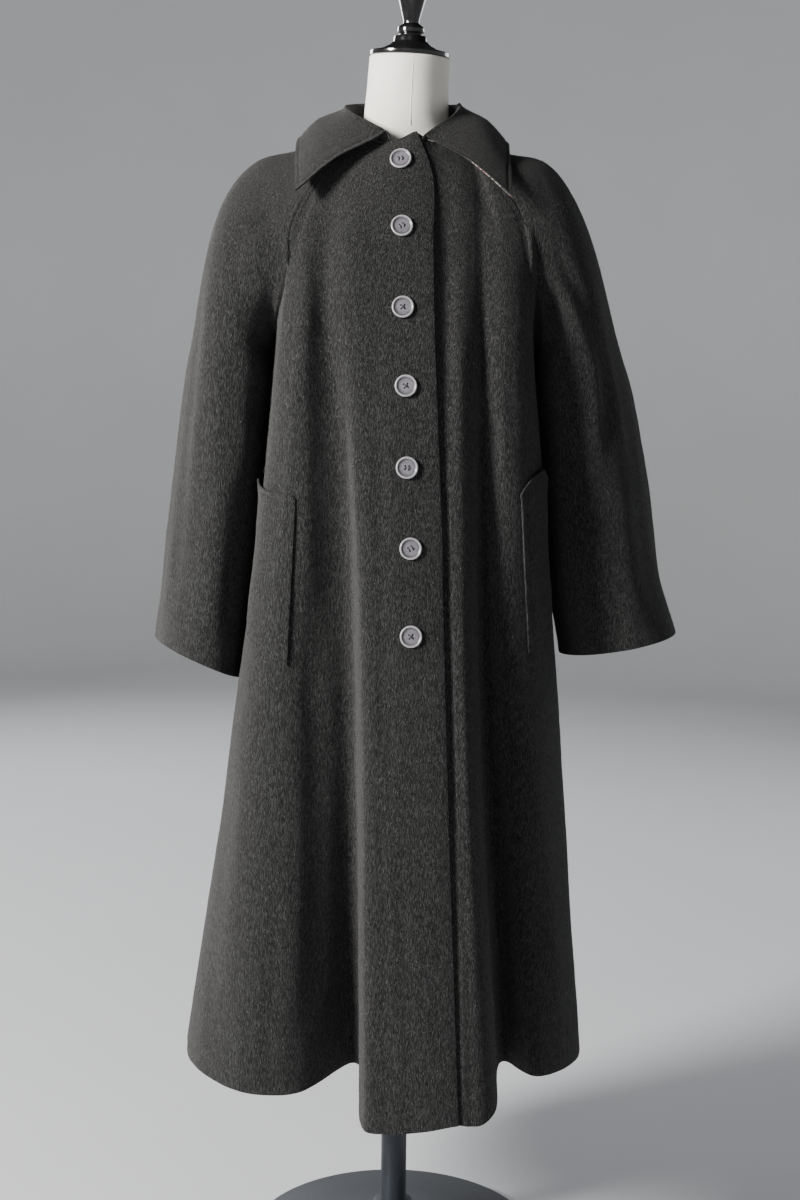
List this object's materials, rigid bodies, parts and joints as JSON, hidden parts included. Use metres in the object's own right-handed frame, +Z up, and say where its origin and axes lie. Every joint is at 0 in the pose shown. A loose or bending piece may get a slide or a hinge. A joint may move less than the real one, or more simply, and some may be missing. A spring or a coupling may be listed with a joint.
{
  "type": "wool coat on a dress form",
  "caption": "Long dark wool swing coat with raglan sleeves, wide collar and welt pockets, buttoned up on a limbless dress form with a turned cap, pole and round foot.",
  "frame": {"origin": "centre of the foot's underside, on the floor", "axes": "+Z up the pole, -Y out of the coat's buttoned front, +X to the wearer's left"},
  "size_m": [0.6652, 0.486, 1.6457],
  "materials": {
    "wool": "brushed charcoal wool coating with a short nap",
    "button": "grey horn-like resin, polished",
    "form_cover": "off-white cotton jersey stretched over a hard body",
    "lacquered_wood": "black gloss lacquer on turned wood",
    "stand_steel": "dark grey enamel"
  },
  "bodies": {
    "root": {"front_right": "wool", "front_left": "wool", "back": "wool", "sleeve_right": "wool", "sleeve_left": "wool", "collar": "wool", "pocket_welt_right": "wool", "pocket_welt_left": "wool", "button_1": "button", "button_2": "button", "button_3": "button", "button_4": "button", "button_5": "button", "button_6": "button", "button_7": "button", "form_torso": "form_cover", "neck_cap": "lacquered_wood", "pole": "stand_steel", "foot": "stand_steel"}
  },
  "joints": []
}
